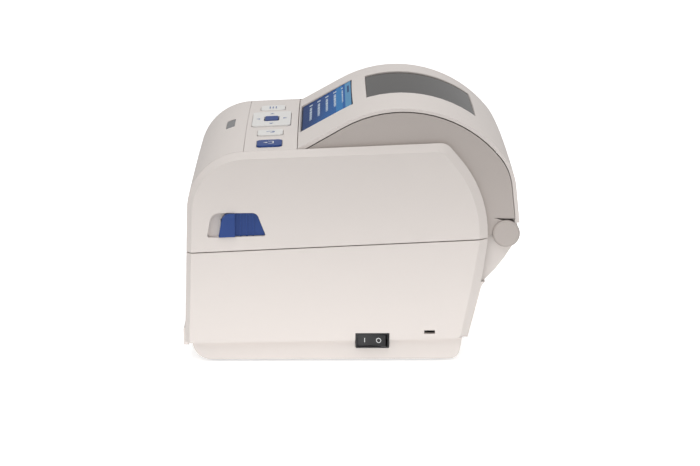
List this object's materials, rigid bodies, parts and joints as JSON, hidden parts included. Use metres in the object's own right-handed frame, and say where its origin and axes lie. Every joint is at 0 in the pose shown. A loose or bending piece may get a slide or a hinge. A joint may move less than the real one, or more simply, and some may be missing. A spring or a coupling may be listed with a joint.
{
  "type": "thermal barcode printer",
  "caption": "Desktop thermal label printer with a rear-hinged domed cover, roll window, tilted display, keypad, side latches and a front label slot.",
  "frame": {"origin": "centre of the outline in plan, at the feet's lower faces", "axes": "front, where the labels leave, towards -Y; rear with the hinge and sockets towards +Y; power switch side +X; up +Z"},
  "size_m": [0.181, 0.2162, 0.1683],
  "materials": {
    "casing": "fine satin grain",
    "inner_casing": "fine matt grain",
    "pale_plastic": "smooth satin",
    "blue_plastic": "satin",
    "dark_plastic": "satin",
    "screen": "glossy",
    "smoked": "smoked, glossy",
    "rubber": "matt",
    "steel": "fine brushed",
    "gear_plastic": "smooth",
    "board": "satin",
    "head_metal": "satin",
    "head_ceramic": "smooth"
  },
  "bodies": {
    "base": {"base_chassis": "casing", "base_housing": "casing", "front_panel": "casing", "media_bay": "inner_casing", "tear_bar": "steel", "drive_plate": "steel", "bearing_plate": "steel", "platen_bushes": "dark_plastic", "motor_body": "head_metal", "controller_board": "board", "usb_socket": "steel", "power_inlet": "dark_plastic", "lock_plate": "steel", "switch_housing": "dark_plastic", "feet": "rubber", "hinge_pins": "steel", "hinge_caps": "inner_casing", "chassis_screws": "steel", "latch_catches": "steel", "holder_guide": "inner_casing", "sensor_rail": "steel"},
    "platen": {"platen_roller": "rubber", "platen_shaft": "steel", "platen_gear": "gear_plastic"},
    "idler": {"idler_gear": "gear_plastic"},
    "motor_rotor": {"motor_shaft": "steel", "motor_pinion": "gear_plastic"},
    "right_holder": {"holder_right": "inner_casing"},
    "left_holder": {"holder_left": "inner_casing"},
    "right_hub": {"holder_hub_right": "pale_plastic"},
    "left_hub": {"holder_hub_left": "pale_plastic"},
    "centring_pinion": {"holder_pinion": "gear_plastic"},
    "sensor": {"media_sensor": "dark_plastic"},
    "rocker": {"power_rocker": "dark_plastic"},
    "cover": {"dome_cover": "casing", "cover_frame": "inner_casing", "roll_window": "smoked", "front_cover": "casing", "keypad_bezel": "casing", "cover_side_right": "casing", "cover_side_left": "casing", "display_module": "dark_plastic", "display_glass": "screen", "led_window": "dark_plastic", "keypad_board": "board", "head_springs": "steel", "latch_spring_right": "steel", "latch_spring_left": "steel"},
    "printhead": {"head_bracket": "steel", "thermal_head": "head_ceramic"},
    "right_latch": {"latch_right": "blue_plastic"},
    "left_latch": {"latch_left": "blue_plastic"},
    "menu": {"menu_key": "pale_plastic"},
    "keymat": {"nav_keymat": "rubber"},
    "nav": {"nav_pad": "pale_plastic"},
    "select": {"select_key": "blue_plastic"},
    "back": {"back_key": "pale_plastic"},
    "print": {"print_key": "blue_plastic"}
  },
  "joints": [
    {"name": "cover_hinge", "type": "hinge", "parent": "base", "child": "cover", "pos_m": [0, 0.0992, 0.0847], "axis": [-1, 0, 0], "range_deg": [0, 80]},
    {"name": "platen_spin", "type": "hinge", "parent": "base", "child": "platen", "pos_m": [0, -0.091, 0.06699], "axis": [1, 0, 0], "continuous": true},
    {"name": "idler_spin", "type": "hinge", "parent": "base", "child": "idler", "pos_m": [0, -0.07959, 0.04252], "axis": [1, 0, 0], "continuous": true},
    {"name": "motor_spin", "type": "hinge", "parent": "base", "child": "motor_rotor", "pos_m": [0, -0.0571, 0.0316], "axis": [1, 0, 0], "continuous": true},
    {"name": "holder_right_slide", "type": "slide", "parent": "base", "child": "right_holder", "axis": [1, 0, 0], "range_m": [-0.046, 0]},
    {"name": "holder_left_slide", "type": "slide", "parent": "base", "child": "left_holder", "axis": [1, 0, 0], "range_m": [0, 0.046]},
    {"name": "holder_pinion_spin", "type": "hinge", "parent": "base", "child": "centring_pinion", "pos_m": [0, 0.02399, 0.024], "axis": [0, 0, 1], "range_deg": [0, 330]},
    {"name": "hub_right_spin", "type": "hinge", "parent": "right_holder", "child": "right_hub", "pos_m": [0, 0.02399, 0.09201], "axis": [1, 0, 0], "continuous": true},
    {"name": "hub_left_spin", "type": "hinge", "parent": "left_holder", "child": "left_hub", "pos_m": [0, 0.02399, 0.09201], "axis": [1, 0, 0], "continuous": true},
    {"name": "media_sensor_slide", "type": "slide", "parent": "base", "child": "sensor", "axis": [1, 0, 0], "range_m": [-0.038, 0.038]},
    {"name": "power_rocker_tilt", "type": "hinge", "parent": "base", "child": "rocker", "pos_m": [0.082, 0.01362, 0.01487], "axis": [0, 0, 1], "range_deg": [0, 11]},
    {"name": "printhead_tilt", "type": "hinge", "parent": "cover", "child": "printhead", "pos_m": [0, -0.07, 0.086], "axis": [-1, 0, 0], "range_deg": [0, 2], "stiffness_Nm_per_rad": 0.3, "springref_deg": -2.86, "deforming": ["head_springs"]},
    {"name": "latch_right_slide", "type": "slide", "parent": "cover", "child": "right_latch", "axis": [0, -1, 0], "range_m": [0, 0.007], "stiffness_N_per_m": 200, "springref_m": -0.004, "deforming": ["latch_spring_right"]},
    {"name": "latch_left_slide", "type": "slide", "parent": "cover", "child": "left_latch", "axis": [0, -1, 0], "range_m": [0, 0.007], "stiffness_N_per_m": 200, "springref_m": -0.004, "deforming": ["latch_spring_left"]},
    {"name": "menu_press", "type": "slide", "parent": "cover", "child": "menu", "axis": [0, 0.0426, -0.9991], "range_m": [0, 0.0006], "stiffness_N_per_m": 60, "springref_m": -0.001},
    {"name": "select_press", "type": "slide", "parent": "cover", "child": "select", "axis": [0, 0.0426, -0.9991], "range_m": [0, 0.0006], "stiffness_N_per_m": 60, "springref_m": -0.001},
    {"name": "back_press", "type": "slide", "parent": "cover", "child": "back", "axis": [0, 0.0426, -0.9991], "range_m": [0, 0.0006], "stiffness_N_per_m": 60, "springref_m": -0.001},
    {"name": "print_press", "type": "slide", "parent": "cover", "child": "print", "axis": [0, 0.0426, -0.9991], "range_m": [0, 0.0006], "stiffness_N_per_m": 60, "springref_m": -0.001},
    {"name": "nav_tilt_up_down", "type": "hinge", "parent": "cover", "child": "keymat", "pos_m": [0, -0.05193, 0.13444], "axis": [1, 0, 0], "range_deg": [-1, 1], "stiffness_Nm_per_rad": 0.05},
    {"name": "nav_tilt_left_right", "type": "hinge", "parent": "keymat", "child": "nav", "pos_m": [0, -0.05193, 0.13444], "axis": [0, 0.9991, 0.0426], "range_deg": [-1, 1], "stiffness_Nm_per_rad": 0.05}
  ],
  "couplings": [
    {"joint": "idler_spin", "follows": "platen_spin", "ratio": -0.5},
    {"joint": "motor_spin", "follows": "platen_spin", "ratio": 1.2857},
    {"joint": "holder_left_slide", "follows": "holder_right_slide", "ratio": -1},
    {"joint": "holder_pinion_spin", "follows": "holder_right_slide", "rad_per_m": -125}
  ]
}
